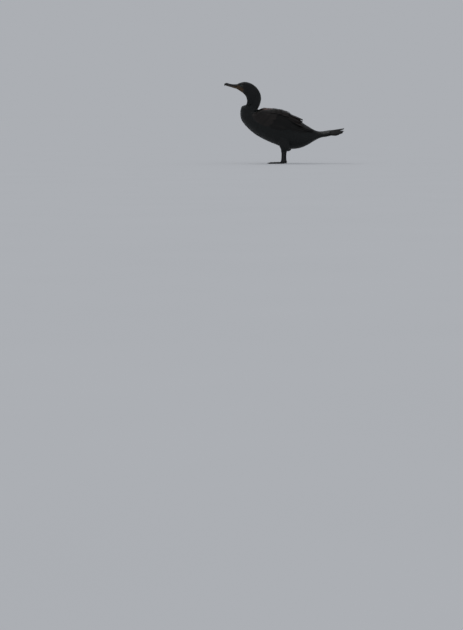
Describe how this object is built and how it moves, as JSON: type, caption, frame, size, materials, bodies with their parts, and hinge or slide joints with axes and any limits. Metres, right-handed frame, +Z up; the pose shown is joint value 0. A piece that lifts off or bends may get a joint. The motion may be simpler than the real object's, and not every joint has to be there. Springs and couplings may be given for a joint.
{
  "type": "cormorant",
  "caption": "Life-size still model of a standing double-crested cormorant, neck drawn back in an S, wings folded, tail held out behind.",
  "frame": {"origin": "on the floor, under the middle of the length from bill tip to tail tip", "axes": "+Z up, -X the way the bird faces, -Y its left side"},
  "size_m": [0.5969, 0.1666, 0.4065],
  "materials": {
    "black_plumage": "glossy greenish-black feathers",
    "bronze_plumage": "brownish-bronze feathers with dark edges",
    "bare_skin": "bare orange-yellow skin, finely pebbled",
    "bill_horn": "satin horn, darker along the ridge",
    "eye": "polished emerald eye with a dark pupil",
    "leg_skin": "black scaled skin",
    "claw_horn": "black horn"
  },
  "bodies": {
    "root": {"head": "black_plumage", "gular_pouch": "bare_skin", "bill_upper": "bill_horn", "bill_lower": "bare_skin", "neck_upper": "black_plumage", "neck_lower": "black_plumage", "torso": "black_plumage", "tail": "black_plumage", "eye_left": "eye", "wing_left": "bronze_plumage", "thigh_left": "black_plumage", "leg_left": "leg_skin", "foot_left": "leg_skin", "claw_left_1": "claw_horn", "claw_left_2": "claw_horn", "claw_left_3": "claw_horn", "claw_left_4": "claw_horn", "eye_right": "eye", "wing_right": "bronze_plumage", "thigh_right": "black_plumage", "leg_right": "leg_skin", "foot_right": "leg_skin", "claw_right_1": "claw_horn", "claw_right_2": "claw_horn", "claw_right_3": "claw_horn", "claw_right_4": "claw_horn"}
  },
  "joints": []
}
